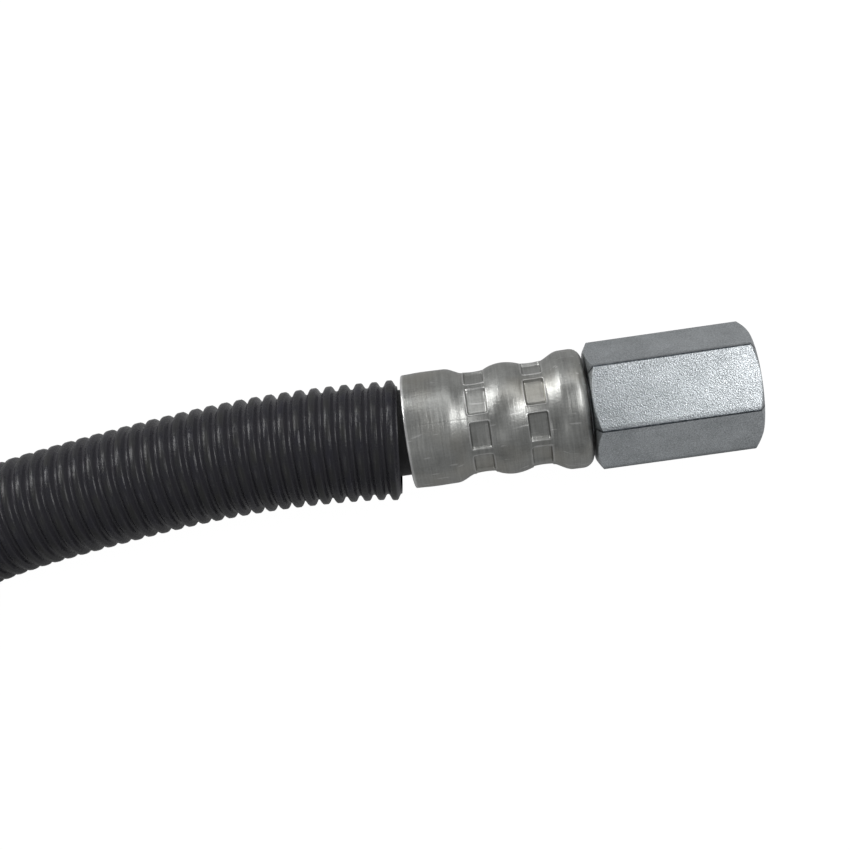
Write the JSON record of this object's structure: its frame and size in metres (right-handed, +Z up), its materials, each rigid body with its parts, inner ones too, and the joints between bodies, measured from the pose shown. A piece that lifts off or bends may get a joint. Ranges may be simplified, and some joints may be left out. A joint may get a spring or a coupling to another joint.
{
  "type": "power steering hose",
  "caption": "Flexible fluid hose in a loose convoluted sleeve, with a crimped steel ferrule and a long hexagonal female coupling at each end, lying in a half turn.",
  "frame": {"origin": "on the floor, under the middle of the near ferrule and coupling, which the hose leaves towards -X", "axes": "+X along the near coupling's axis, out of its port; +Z up from the floor that the hose lies on; +Y away from the side that the hose bends to"},
  "size_m": [0.2413, 0.215, 0.0238],
  "materials": {
    "zinc_plate": "bright zinc plate, fine grained, satin",
    "ferrule_steel": "dull warm grey plated steel, drawn and crimped",
    "hose_rubber": "plain black rubber cover",
    "sleeve_plastic": "black moulded plastic with a soft gloss"
  },
  "bodies": {
    "root": {"end_coupling": "zinc_plate", "crimp_ferrule": "ferrule_steel", "rubber_hose": "hose_rubber", "convoluted_sleeve": "sleeve_plastic", "far_crimp_ferrule": "ferrule_steel", "far_end_coupling": "zinc_plate"}
  },
  "joints": []
}
